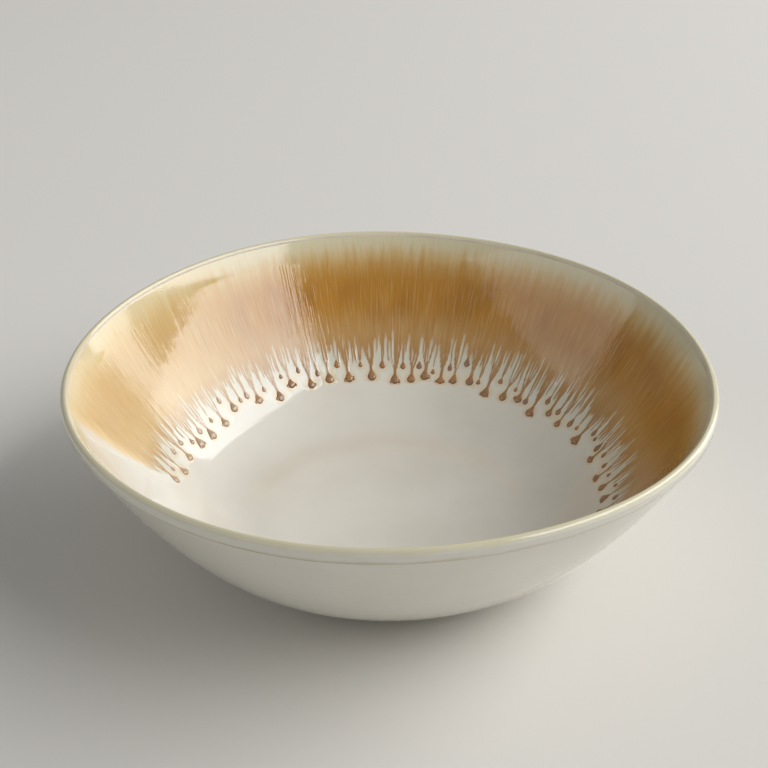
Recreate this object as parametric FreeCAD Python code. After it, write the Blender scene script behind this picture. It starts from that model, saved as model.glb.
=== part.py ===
"""Porcelain serving bowl: a thrown body on a bare foot ring, with its separate glaze coats.

Millimetres and degrees, +Z up. The origin is on the table, under the middle of the bowl.
Every round surface is lofted through closed rings, so that the rim can be slightly uneven
in radius and in height, as on a bowl thrown by hand, while the foot stays round and flat.
"""
import FreeCAD, Part
import math
import os

# ---- overall sizes of the finished bowl -------------------------------------------------
rim_radius = 145.0          # outside of the lip
bowl_height = 90.0          # table to the mean top of the lip
foot_radius = 58.0          # outside of the foot ring

# ---- foot -------------------------------------------------------------------------------
foot_height = 5.9           # table to the underside of the body
foot_width = 8.0            # radial width of the standing ring
foot_round = 1.2            # worn edges of the standing face

# ---- run of the outside wall, from the foot to the lip ----------------------------------
spring_slope = 5.0          # slope of the wall where it leaves the foot
spring_reach = 12.0         # how far that slope is held
wall_slope = 61.2           # slope of the wall under the lip
wall_reach = 92.0           # how far down that slope is felt

# ---- clay thicknesses -------------------------------------------------------------------
lip_wall = 3.6              # clay under the lip
foot_wall = 7.0             # clay where the wall leaves the foot

# ---- lip --------------------------------------------------------------------------------
lip_thickness = 4.5         # across the rolled lip, glaze included
lip_drop = 5.0              # top of the lip to the top of the outside glaze
lip_overhang = 0.6          # how far the lip stands out past the wall below it
lip_outer_turn = -35.0      # where the roll leaves the outside wall, from level
lip_inner_turn = 193.0      # where the roll meets the inside wall, from level

# ---- glaze thicknesses ------------------------------------------------------------------
outer_coat = 0.4
liner_coat = 0.4
lip_coat = 0.5
amber_coat = 0.4

# ---- amber band: distances are measured down the inside wall from the lip ---------------
amber_start = -24.0         # right-hand edge of the poured sector, round +Z from +X
amber_end = 186.0           # left-hand edge of the poured sector
amber_top = 1.0             # upper edge of the band
amber_bottom = 58.0         # lower edge, where the band breaks up into streams

# ---- streams and beads: (direction, distance down the wall to the tip) -------------------
drips = (
    (-17, 74), (-11, 73), (-5, 74), (1, 76), (10, 75), (21, 76), (31, 75), (36, 73),
    (42, 78), (48, 74), (53, 76), (59, 77), (65, 73), (70, 74), (74, 75), (79, 74),
    (83, 76), (88, 77), (95, 75), (102, 75), (108, 74), (114, 75), (120, 72), (125, 77),
    (132, 74), (141, 72), (147, 76), (154, 77), (160, 76), (168, 75), (175, 76), (181, 73),
)
run_width = 2.4
bead_width = 5.0
bead_length = 9.0
bead_height = 1.4           # above the liner
bead_shape = ((0.7, 0.6), (0.4, 1.0), (0.15, 0.8))   # (share left to the tip, share of the swell)
crown_facets = 6            # facets over a stream or bead

# ---- unevenness of the rim: (lobes, size, direction of a peak) ---------------------------
radius_waves = ((1, 0.6, -25.0), (2, 0.8, 109.0), (3, 0.6, 69.0), (4, 0.25, 15.0))
height_waves = ((2, 1.3, 109.0), (3, 0.5, 50.0), (4, 0.6, 24.0))

# ---- fineness of the lofts --------------------------------------------------------------
ring_points = 40            # points that each closed ring is drawn through
wall_steps = 24             # rings up the wall
lip_steps = 8               # rings over the roll
floor_rings = (0.7, 0.35, 0.12)   # rings across the floor, as shares of its radius


# ---- plane geometry of the profile ------------------------------------------------------
def polar(reach, angle):
    """Radial and vertical steps of a line of that reach and slope."""
    turn = math.radians(angle)
    return reach * math.cos(turn), reach * math.sin(turn)


def wall_poles():
    """Bezier poles of the glazed outside, from the foot to the lip."""
    start = (foot_radius, foot_height - outer_coat)
    end = (rim_radius - lip_overhang, bowl_height - lip_drop)
    first = polar(spring_reach, spring_slope)
    last = polar(wall_reach, wall_slope)
    return (start, (start[0] + first[0], start[1] + first[1]),
            (end[0] - last[0], end[1] - last[1]), end)


def wall_point(share):
    """Point of the glazed outside and its inward normal, share 0 at the foot, 1 at the lip."""
    poles = wall_poles()
    rest = 1.0 - share
    weights = (rest ** 3, 3 * rest ** 2 * share, 3 * rest * share ** 2, share ** 3)
    slopes = (3 * rest ** 2, 6 * rest * share, 3 * share ** 2)
    point = [sum(w * p[i] for w, p in zip(weights, poles)) for i in (0, 1)]
    along = [sum(w * (b[i] - a[i]) for w, a, b in zip(slopes, poles, poles[1:])) for i in (0, 1)]
    length = math.hypot(along[0], along[1])
    return point, (-along[1] / length, along[0] / length)


def clay_thickness(share):
    """Clay is thickest at the foot and thins towards the lip."""
    return lip_wall + (foot_wall - lip_wall) * (1.0 - share) ** 2


def offset_point(share, layer, depth=0.0):
    """Point on one side of a layer: outside, clay_out, clay_in or liner, plus an extra depth."""
    point, normal = wall_point(share)
    depths = {
        "outside": 0.0,
        "clay_out": outer_coat,
        "clay_in": outer_coat + clay_thickness(share),
        "liner": outer_coat + clay_thickness(share) + liner_coat,
    }
    reach = depths[layer] + depth
    return point[0] + normal[0] * reach, point[1] + normal[1] * reach


def share_at(distance):
    """Share of the wall that lies at a distance down the liner from the lip."""
    steps = 400
    walked = 0.0
    before = offset_point(1.0, "liner")
    for step in range(steps - 1, -1, -1):
        here = offset_point(step / steps, "liner")
        stride = math.dist(before, here)
        if walked + stride >= distance:
            return (step + 1 - (distance - walked) / stride) / steps
        walked += stride
        before = here
    return 0.0


def lip_point(angle, radius):
    """Point of the rolled lip, at an angle from level and a radius from the roll's middle."""
    step = polar(radius, angle)
    return (rim_radius - lip_thickness / 2 + step[0],
            bowl_height - lip_thickness / 2 + step[1])


def floor_height(radius, layer):
    """Height of the floor inside the foot: it eases from the wall's slope to level."""
    edge = offset_point(0.0, layer)
    sag = math.tan(math.radians(spring_slope)) * edge[0] / 2
    return edge[1] - sag * (1.0 - (radius / edge[0]) ** 2)


# ---- rings and lofts --------------------------------------------------------------------
def wave_sum(waves, angle):
    return sum(size * math.cos(math.radians(lobes * (angle - peak))) for lobes, size, peak in waves)


def place(radius, height, angle):
    """Point in space of a profile point: the unevenness grows from the foot to the lip."""
    lean = max(0.0, (radius - foot_radius) / (rim_radius - foot_radius)) ** 2
    radius += lean * wave_sum(radius_waves, angle)
    height += lean * wave_sum(height_waves, angle)
    turn = math.radians(angle)
    return FreeCAD.Vector(radius * math.cos(turn), radius * math.sin(turn), height)


def ring(point):
    """Closed smooth wire round the bowl through one profile point."""
    points = [place(point[0], point[1], 360.0 * k / ring_points) for k in range(ring_points)]
    curve = Part.BSplineCurve()
    curve.interpolate(Points=points, PeriodicFlag=True)
    return Part.Wire([curve.toShape()])


def skin(points, ruled=False):
    """Faces lofted through the rings of a row of profile points."""
    return Part.makeLoft([ring(point) for point in points], False, ruled).Faces


def disc(point):
    """Flat face that closes a level ring."""
    return [Part.Face(ring(point))]


def solid(*groups):
    """Closed solid from groups of faces that meet along shared rings."""
    faces = [face for group in groups for face in group]
    shell = Part.makeShell(faces)
    shell.sewShape()
    if shell.ShapeType != "Shell":
        shell = shell.Shells[0]
    body = Part.makeSolid(shell)
    if body.Volume < 0:
        body.reverse()
    return body


# ---- rows of profile points, shared by the pieces that touch ----------------------------
def wall_row(layer, low=0.0, high=1.0, depth=0.0):
    return [offset_point(low + (high - low) * k / wall_steps, layer, depth)
            for k in range(wall_steps + 1)]


def floor_row(layer):
    edge = offset_point(0.0, layer)
    radii = [edge[0] * share for share in (1.0,) + floor_rings]
    return [edge] + [(radius, floor_height(radius, layer)) for radius in radii[1:]]


def roll_row(radius):
    span = lip_inner_turn - lip_outer_turn
    return [lip_point(lip_outer_turn + span * k / lip_steps, radius) for k in range(lip_steps + 1)]


def core_roll_row():
    return roll_row(lip_thickness / 2 - lip_coat)


# ---- pieces -----------------------------------------------------------------------------
def make_porcelain_body():
    """Thrown wall and floor, with the rounded clay lip."""
    outside = wall_row("clay_out")
    inside = wall_row("clay_in")
    roll = core_roll_row()
    floor = floor_row("clay_in")
    return solid(disc(outside[0]), skin(outside), skin([outside[-1], roll[0]], True), skin(roll),
                 skin([roll[-1], inside[-1]], True), skin(inside), skin(floor), disc(floor[-1]))


def make_foot_ring():
    """Bare turned ring that the bowl stands on, round and flat."""
    outer = offset_point(0.0, "clay_out")[0]
    inner = outer - foot_width
    section = [(outer, foot_height), (outer, foot_round), (outer - foot_round, 0.0),
               (inner + foot_round, 0.0), (inner, foot_round), (inner, foot_height)]
    corners = [FreeCAD.Vector(radius, 0, height) for radius, height in section]
    middle = foot_round * (1.0 - math.sqrt(0.5))
    bulges = {1: FreeCAD.Vector(outer - middle, 0, middle),
              3: FreeCAD.Vector(inner + middle, 0, middle)}
    edges = []
    for k, corner in enumerate(corners):
        after = corners[(k + 1) % len(corners)]
        if k in bulges:
            edges.append(Part.Arc(corner, bulges[k], after).toShape())
        else:
            edges.append(Part.makeLine(corner, after))
    face = Part.Face(Part.Wire(edges))
    return face.revolve(FreeCAD.Vector(0, 0, 0), FreeCAD.Vector(0, 0, 1), 360)


def make_outer_glaze():
    """White coat on the outside wall, from the foot to the lip."""
    clay = wall_row("clay_out")
    outside = wall_row("outside")
    return solid(skin(clay), skin([clay[-1], outside[-1]], True), skin(outside),
                 skin([outside[0], clay[0]], True))


def make_liner_glaze():
    """White coat over the whole inside, floor and wall."""
    clay = wall_row("clay_in")
    inside = wall_row("liner")
    clay_floor = floor_row("clay_in")
    floor = floor_row("liner")
    return solid(skin(clay), skin(clay_floor), disc(clay_floor[-1]), skin([clay[-1], inside[-1]], True),
                 skin(inside), skin(floor), disc(floor[-1]))


def make_lip_glaze():
    """Thick coat that rolls over the rim from the outside glaze to the liner."""
    clay_out = offset_point(1.0, "clay_out")
    clay_in = offset_point(1.0, "clay_in")
    top_of_outside = offset_point(1.0, "outside")
    top_of_liner = offset_point(1.0, "liner")
    core = core_roll_row()
    roll = roll_row(lip_thickness / 2)
    return solid(skin([clay_out, core[0]], True), skin(core), skin([core[-1], clay_in], True),
                 skin([clay_in, top_of_liner], True), skin([top_of_liner, roll[-1]], True), skin(roll),
                 skin([roll[0], top_of_outside], True), skin([top_of_outside, clay_out], True))


def coat_ring(top, bottom, thickness):
    """Full ring of a coat that lies on the liner between two distances down the wall."""
    low = share_at(bottom)
    high = share_at(top)
    under = wall_row("liner", low, high)
    over = wall_row("liner", low, high, thickness)
    return solid(skin(under), skin([under[-1], over[-1]], True), skin(over),
                 skin([over[0], under[0]], True))


def sector(start, end):
    """Upright wedge about +Z that reaches past the rim, between two directions."""
    wedge = Part.makeCylinder(2 * rim_radius, 2 * bowl_height, FreeCAD.Vector(0, 0, -bowl_height / 2),
                              FreeCAD.Vector(0, 0, 1), end - start)
    wedge.rotate(FreeCAD.Vector(0, 0, 0), FreeCAD.Vector(0, 0, 1), start)
    return wedge


def make_amber_glaze():
    """Reactive coat poured over the upper inside wall, open where the pour stopped."""
    return coat_ring(amber_top, amber_bottom, amber_coat).common(sector(amber_start, amber_end))


def drip_section(angle, distance, width, height):
    """Closed outline of a stream or bead, square to its run: a flat seat under a faceted crown."""
    share = share_at(distance)
    radius, level = offset_point(share, "liner")
    middle = place(radius, level, angle)
    turn = math.radians(angle)
    across = FreeCAD.Vector(-math.sin(turn), math.cos(turn), 0)
    step = wall_point(share)[1]
    normal = FreeCAD.Vector(step[0] * math.cos(turn), step[0] * math.sin(turn), step[1])
    corners = []
    for k in range(crown_facets + 1):
        swing = math.pi * k / crown_facets
        corners.append(middle + across * (width / 2 * math.cos(swing))
                       + normal * (height * math.sin(swing)))
    return Part.makePolygon(corners + corners[:1])


def make_stream(angle, tip):
    """One narrow stream, from the lower edge of the amber band to the neck of its bead."""
    neck = tip - bead_length
    rows = [amber_bottom + (neck - amber_bottom) * k / 3 for k in range(4)]
    sections = [drip_section(angle, row, run_width, amber_coat) for row in rows]
    return Part.makeLoft(sections, True, True)


def make_bead(angle, tip):
    """One bead: it swells from the neck of its stream and closes in a blunt tip."""
    sections = [drip_section(angle, tip - bead_length, run_width, amber_coat)]
    for rest, spread in bead_shape:
        width = run_width + (bead_width - run_width) * spread
        sections.append(drip_section(angle, tip - bead_length * rest, width, bead_height * spread))
    sections.append(drip_section(angle, tip, run_width / 2, amber_coat / 2))
    return Part.makeLoft(sections, True, True)


def make_glaze_runs():
    return Part.makeCompound([make_stream(angle, tip) for angle, tip in drips])


def make_glaze_beads():
    return Part.makeCompound([make_bead(angle, tip) for angle, tip in drips])


def main():
    os.makedirs("parts", exist_ok=True)
    make_porcelain_body().exportStep("parts/porcelain_body.step")
    make_foot_ring().exportStep("parts/foot_ring.step")
    make_outer_glaze().exportStep("parts/outer_glaze.step")
    make_liner_glaze().exportStep("parts/liner_glaze.step")
    make_lip_glaze().exportStep("parts/lip_glaze.step")
    make_amber_glaze().exportStep("parts/amber_glaze.step")
    make_glaze_runs().exportStep("parts/glaze_runs.step")
    make_glaze_beads().exportStep("parts/glaze_beads.step")


main()
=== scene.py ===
"""Finished look of the porcelain serving bowl: clay, foot, glazes, runs, beads and studio.

The bowl stands in its own frame, in metres, +Z up, with the table at height zero. Each coat of
glaze is a closed skin shaped on one shared profile, so the coats lie on each other as they do on
the fired bowl.
"""

import logging
import math
from dataclasses import astuple, dataclass, field
from enum import Enum
from typing import Callable, Iterable, Sequence

import bpy
import numpy as np
from mathutils import Euler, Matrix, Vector


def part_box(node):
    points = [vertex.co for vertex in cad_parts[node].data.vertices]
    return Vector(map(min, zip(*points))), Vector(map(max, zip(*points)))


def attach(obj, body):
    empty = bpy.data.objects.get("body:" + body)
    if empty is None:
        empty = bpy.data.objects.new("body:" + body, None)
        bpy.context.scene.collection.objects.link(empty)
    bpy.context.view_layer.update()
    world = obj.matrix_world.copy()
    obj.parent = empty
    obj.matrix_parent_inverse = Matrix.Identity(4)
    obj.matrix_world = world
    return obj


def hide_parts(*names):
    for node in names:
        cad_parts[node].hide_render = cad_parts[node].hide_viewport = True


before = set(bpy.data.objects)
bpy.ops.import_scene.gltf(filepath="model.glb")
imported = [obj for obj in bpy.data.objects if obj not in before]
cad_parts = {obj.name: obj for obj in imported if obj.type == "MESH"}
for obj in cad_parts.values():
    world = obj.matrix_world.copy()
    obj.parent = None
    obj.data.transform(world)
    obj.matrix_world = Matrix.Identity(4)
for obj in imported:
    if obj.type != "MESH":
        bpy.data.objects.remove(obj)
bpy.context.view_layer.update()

MM = 0.001
TAU = 2.0 * math.pi
FLOW_MAP = "GlazeFlow"
FLOW_SEAM = -60.0
# Ends of the pour: direction in degrees at the lip, and its change by mm down and by mm squared.
POUR_LEFT = (200.5, -0.14, -0.002)
POUR_RIGHT = (-42.5, 0.06, 0.0035)
POUR_REACH = 74.0
WELD = 0.004 * MM
NUMBER = "NodeSocketFloat"
# Streaks of the glaze: how often they repeat round the bowl and down it, detail and roughness.
STREAKS = {
    "Fine": (1000.0, 0.5, 2.0, 0.55),
    "Broad": (250.0, 0.3, 2.0, 0.5),
    "Slow": (34.0, 0.3, 1.0, 0.5),
}
SPECK_SIZE = 0.03
LOG = logging.getLogger("bowl")

Outline = list[tuple[float, float]]


# ------------------------------------------------------------------------------------------
# Shape of the bowl
# ------------------------------------------------------------------------------------------
class Layer(Enum):
    """Surfaces of the wall, from the outside in."""

    OUTSIDE = "outside of the finished bowl"
    CLAY_OUT = "outside of the clay"
    CLAY_IN = "inside of the clay"
    LINER = "inside of the finished bowl"


@dataclass(frozen=True)
class Wave:
    """One slow unevenness of the rim.

    Args:
        lobes: How many peaks it has round the bowl.
        size: Height of a peak, in metres.
        peak: Direction of a peak, in degrees.
    """

    lobes: int
    size: float
    peak: float

    def at(self, angle: np.ndarray) -> np.ndarray:
        """Height of the wave at each angle, in radians."""
        return self.size * np.cos(self.lobes * (angle - math.radians(self.peak)))


@dataclass(frozen=True)
class BowlShape:
    """Profile and unevenness that every coat of the bowl shares."""

    rim_radius: float = 145.0 * MM
    bowl_height: float = 90.0 * MM
    foot_radius: float = 58.0 * MM
    foot_height: float = 5.9 * MM
    spring_slope: float = 5.0
    spring_reach: float = 12.0 * MM
    wall_slope: float = 61.2
    wall_reach: float = 92.0 * MM
    lip_wall: float = 3.6 * MM
    foot_wall: float = 7.0 * MM
    lip_thickness: float = 4.5 * MM
    lip_drop: float = 5.0 * MM
    lip_overhang: float = 0.6 * MM
    outer_coat: float = 0.4 * MM
    liner_coat: float = 0.4 * MM
    radius_waves: tuple[Wave, ...] = (
        Wave(1, 0.6 * MM, -25.0), Wave(2, 0.8 * MM, 109.0),
        Wave(3, 0.6 * MM, 69.0), Wave(4, 0.25 * MM, 15.0))
    height_waves: tuple[Wave, ...] = (
        Wave(2, 1.3 * MM, 109.0), Wave(3, 0.5 * MM, 50.0), Wave(4, 0.6 * MM, 24.0))

    def poles(self) -> np.ndarray:
        """Bezier poles of the glazed outside, from the foot to the lip."""
        start = np.array([self.foot_radius, self.foot_height - self.outer_coat])
        end = np.array([self.rim_radius - self.lip_overhang, self.bowl_height - self.lip_drop])
        return np.array([start, start + polar(self.spring_reach, self.spring_slope),
                         end - polar(self.wall_reach, self.wall_slope), end])

    def wall(self, share: np.ndarray, layer: Layer, lift: np.ndarray | float = 0.0) -> np.ndarray:
        """Profile points of one surface of the wall.

        Args:
            share: How far up the wall, 0 at the foot and 1 at the lip.
            layer: Which surface.
            lift: Extra distance towards the inside, in metres.

        Returns:
            Rows of radius and height.
        """
        share = np.asarray(share, float)[..., None]
        rest = 1.0 - share
        pole = self.poles()
        point = bezier(pole, share)
        along = (rest ** 2 * (pole[1] - pole[0]) + 2 * rest * share * (pole[2] - pole[1])
                 + share ** 2 * (pole[3] - pole[2]))
        along /= np.linalg.norm(along, axis=-1, keepdims=True)
        normal = np.stack([-along[..., 1], along[..., 0]], -1)
        clay = self.lip_wall + (self.foot_wall - self.lip_wall) * rest[..., 0] ** 2
        depth = {
            Layer.OUTSIDE: 0.0 * clay,
            Layer.CLAY_OUT: self.outer_coat + 0.0 * clay,
            Layer.CLAY_IN: self.outer_coat + clay,
            Layer.LINER: self.outer_coat + clay + self.liner_coat,
        }[layer]
        return point + normal * (depth + lift)[..., None]

    def walk_liner(self) -> tuple[np.ndarray, np.ndarray, np.ndarray]:
        """Share, radius and distance walked at many points down the liner from the lip."""
        shares = np.linspace(1.0, 0.0, 1501)
        row = self.wall(shares, Layer.LINER)
        steps = np.linalg.norm(np.diff(row, axis=0), axis=1)
        return shares, row[:, 0], np.concatenate([[0.0], np.cumsum(steps)])

    def share_at(self, distance: np.ndarray) -> np.ndarray:
        """Share of the wall at each distance down the liner from the lip, in metres."""
        shares, _, walked = self.walk_liner()
        return np.interp(distance, walked, shares)

    def distance_at(self, radius: np.ndarray) -> np.ndarray:
        """Distance down the liner from the lip at each radius of the wall, in metres."""
        _, radii, walked = self.walk_liner()
        return np.interp(radius, radii[::-1], walked[::-1])

    def floor_height(self, radius: np.ndarray, layer: Layer) -> np.ndarray:
        """Height of the floor inside the foot, which eases from the wall's slope to level."""
        edge = self.wall(np.array(0.0), layer)
        sag = math.tan(math.radians(self.spring_slope)) * edge[0] / 2
        return edge[1] - sag * (1.0 - (np.asarray(radius) / edge[0]) ** 2)

    def roll_point(self, turn: float, radius: float) -> tuple[float, float]:
        """Profile point of the rolled lip, at an angle in degrees from level."""
        half = self.lip_thickness / 2
        step = polar(radius, turn)
        return self.rim_radius - half + step[0], self.bowl_height - half + step[1]

    def place(self, radius: np.ndarray, height: np.ndarray, angle: np.ndarray) -> np.ndarray:
        """Points in space of profile points turned to an angle, with the rim's unevenness.

        Args:
            radius: Radius of each profile point, in metres.
            height: Height of each profile point, in metres.
            angle: Direction of each point, in radians.

        Returns:
            Rows of X, Y and Z.
        """
        out = (radius - self.foot_radius) / (self.rim_radius - self.foot_radius)
        lean = np.clip(out, 0, None) ** 2
        radius = radius + lean * sum(wave.at(angle) for wave in self.radius_waves)
        height = height + lean * sum(wave.at(angle) for wave in self.height_waves)
        return np.stack([radius * np.cos(angle), radius * np.sin(angle), height], -1)

    def on_liner(self, distance: np.ndarray, angle: np.ndarray, lift: np.ndarray) -> np.ndarray:
        """Points over the liner at a distance down from the lip, a direction and a height."""
        row = self.wall(self.share_at(distance), Layer.LINER, lift)
        return self.place(row[..., 0], row[..., 1], angle)


def polar(reach: float, slope: float) -> np.ndarray:
    """Radial and vertical steps of a line of that reach and slope in degrees."""
    return np.array([reach * math.cos(math.radians(slope)), reach * math.sin(math.radians(slope))])


def bezier(poles: Sequence[np.ndarray], share: np.ndarray) -> np.ndarray:
    """Points of a cubic Bezier curve at a column of shares of its run."""
    rest = 1.0 - share
    return (rest ** 3 * poles[0] + 3 * rest ** 2 * share * poles[1]
            + 3 * rest * share ** 2 * poles[2] + share ** 3 * poles[3])


def outline_of(points: Iterable) -> Outline:
    """Plain radius and height of each point."""
    return [(float(radius), float(height)) for radius, height in points]


def around_axis(points: np.ndarray) -> tuple[np.ndarray, np.ndarray]:
    """Radius of each point, and its direction in radians."""
    return np.hypot(points[:, 0], points[:, 1]), np.arctan2(points[:, 1], points[:, 0])


def smooth(low: float | np.ndarray, high: float | np.ndarray,
           value: float | np.ndarray) -> np.ndarray:
    """Smooth step from 0 at low to 1 at high, which may lie either way round."""
    part = np.clip((np.asarray(value, float) - low) / (high - low), 0.0, 1.0)
    return part * part * (3.0 - 2.0 * part)


def flow_rows(angle: np.ndarray, down: np.ndarray) -> np.ndarray:
    """Map coordinates of the glaze flow.

    Args:
        angle: Directions round the bowl, in degrees.
        down: Distances down the inside from the lip, in metres.

    Returns:
        Rows of turns round the bowl and centimetres down.
    """
    return np.stack([(angle - FLOW_SEAM) / 360.0 % 1.0, down / (10 * MM)], -1)


def pour_depth(angle: np.ndarray) -> np.ndarray:
    """How far down the wall the pour reaches at each angle in degrees, drips left out."""
    turned = (angle + 90.0) % 360.0 - 90.0
    depth = np.full_like(turned, POUR_REACH)
    for start, slope, bend in (POUR_LEFT, POUR_RIGHT):
        root = np.sqrt(np.clip(slope ** 2 + 4 * bend * (turned - start), 0.0, None))
        depth = np.minimum(depth, (root - abs(slope)) / (2 * abs(bend)))
    return depth * MM


def pour_masks(angle: np.ndarray, down: np.ndarray,
               edge: np.ndarray) -> tuple[np.ndarray, np.ndarray]:
    """How strongly the pour colours and thickens the wall.

    Args:
        angle: Directions, in degrees.
        down: Distances down the wall, in metres.
        edge: Distance down of the pour's edge at each point, drips put in.

    Returns:
        The colour's share and the coat's share, each between 0 and 1.
    """
    turned, depth = (angle + 90.0) % 360.0 - 90.0, down / MM
    left, right = (start + slope * depth + bend * depth ** 2
                   for start, slope, bend in (POUR_LEFT, POUR_RIGHT))
    wide = 3.0 + 9.0 * smooth(72.0, 20.0, depth)
    fade = smooth(0.0, 1.0, (left - turned) / wide) * smooth(0.0, 1.0, (turned - right) / wide)
    colour = np.minimum(smooth(-1.5 * MM, 2.5 * MM, edge - down), fade)
    return colour, smooth(-0.8 * MM, 3.2 * MM, edge - down)


# ------------------------------------------------------------------------------------------
# Modelling steps
# ------------------------------------------------------------------------------------------
def clear_selection() -> None:
    """Leave edit mode and deselect everything."""
    if bpy.context.object and bpy.context.object.mode != "OBJECT":
        bpy.ops.object.mode_set(mode="OBJECT")
    bpy.ops.object.select_all(action="DESELECT")


def start_piece(name: str) -> bpy.types.Object:
    """Name the primitive that was just added."""
    piece = bpy.context.object
    piece.name = name
    piece.data.name = name
    return piece


def coordinates(piece: bpy.types.Object) -> np.ndarray:
    """Rows of X, Y and Z of a piece's vertices."""
    flat = np.empty(len(piece.data.vertices) * 3)
    piece.data.vertices.foreach_get("co", flat)
    return flat.reshape(-1, 3)


def move_vertices(piece: bpy.types.Object, points: np.ndarray) -> None:
    """Move every vertex of a piece to a row of points."""
    piece.data.vertices.foreach_set("co", np.asarray(points, float).ravel())
    piece.data.update()


def finish_mesh(piece: bpy.types.Object, weld: bool = True) -> None:
    """Weld doubled vertices if asked, turn the faces outwards and shade them smooth."""
    clear_selection()
    piece.select_set(True)
    bpy.context.view_layer.objects.active = piece
    bpy.ops.object.mode_set(mode="EDIT")
    bpy.ops.mesh.select_all(action="SELECT")
    if weld:
        bpy.ops.mesh.remove_doubles(threshold=WELD)
        bpy.ops.mesh.delete_loose()
        bpy.ops.mesh.select_all(action="SELECT")
    bpy.ops.mesh.normals_make_consistent(inside=False)
    bpy.ops.object.mode_set(mode="OBJECT")
    bpy.ops.object.shade_smooth()


def throw_on_wheel(name: str, outline: Outline, closed: bool, segments: int) -> bpy.types.Object:
    """Turn a half section into a round piece.

    Args:
        name: Name of the piece.
        outline: Radius and height of each corner of the half section, in order.
        closed: Whether the section closes on itself; if not, it starts and ends on the axis.
        segments: Steps round the axis.

    Returns:
        The piece, still perfectly round.
    """
    clear_selection()
    bpy.ops.mesh.primitive_circle_add(vertices=len(outline), radius=10 * MM)
    piece = start_piece(name)
    move_vertices(piece, np.array([(radius, 0.0, height) for radius, height in outline]))
    if not closed:
        bpy.ops.object.mode_set(mode="EDIT")
        bpy.ops.mesh.select_all(action="DESELECT")
        bpy.ops.object.mode_set(mode="OBJECT")
        for edge in piece.data.edges:
            edge.select = set(edge.vertices) == {0, len(outline) - 1}
        bpy.ops.object.mode_set(mode="EDIT")
        bpy.ops.mesh.select_mode(type="EDGE")
        bpy.ops.mesh.delete(type="EDGE")
        bpy.ops.mesh.select_mode(type="VERT")
        bpy.ops.object.mode_set(mode="OBJECT")
    bpy.ops.object.mode_set(mode="EDIT")
    bpy.ops.mesh.select_all(action="SELECT")
    bpy.ops.mesh.spin(steps=segments, angle=TAU, center=(0, 0, 0), axis=(0, 0, 1),
                      use_auto_merge=True)
    bpy.ops.object.mode_set(mode="OBJECT")
    finish_mesh(piece)
    return piece


def add_flow_map(piece: bpy.types.Object, flow: Callable[[np.ndarray], np.ndarray]) -> None:
    """Give a piece a map of how the glaze flowed: turns round the bowl, and distance down.

    Args:
        piece: The piece.
        flow: Gives rows of map coordinates for rows of vertex coordinates.
    """
    mesh = piece.data
    corners = np.empty(len(mesh.loops), np.int32)
    starts, counts = np.empty((2, len(mesh.polygons)), np.int32)
    mesh.loops.foreach_get("vertex_index", corners)
    mesh.polygons.foreach_get("loop_start", starts)
    mesh.polygons.foreach_get("loop_total", counts)
    layer = mesh.uv_layers.new(name=FLOW_MAP)
    uv = flow(coordinates(piece))[corners]
    turn = uv[:, 0]
    spread = np.maximum.reduceat(turn, starts) - np.minimum.reduceat(turn, starts)
    wrap = np.repeat(spread > 0.5, counts)
    turn[wrap & (turn < 0.5)] += 1.0
    layer.data.foreach_set("uv", uv.ravel())


def add_mask(piece: bpy.types.Object, name: str, values: np.ndarray) -> None:
    """Store one number for each vertex of a piece, for its finish to read."""
    attribute = piece.data.attributes.new(name=name, type="FLOAT", domain="POINT")
    attribute.data.foreach_set("value", np.asarray(values, float))


def dress(piece: bpy.types.Object, material: bpy.types.Material, node: str) -> bpy.types.Object:
    """Give a piece its finish and its place in the frame, where it stands for one CAD node."""
    piece.data.materials.clear()
    piece.data.materials.append(material)
    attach(piece, "root")
    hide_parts(node)
    LOG.info("%s: %d faces", piece.name, len(piece.data.polygons))
    return piece


# ------------------------------------------------------------------------------------------
# Finishes
# ------------------------------------------------------------------------------------------
def linear(red: int, green: int, blue: int) -> tuple[float, float, float, float]:
    """Linear colour of a display colour given from 0 to 255."""
    parts = [c / 255 for c in (red, green, blue)]
    return (*[c / 12.92 if c <= 0.04045 else ((c + 0.055) / 1.055) ** 2.4 for c in parts], 1.0)


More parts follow.
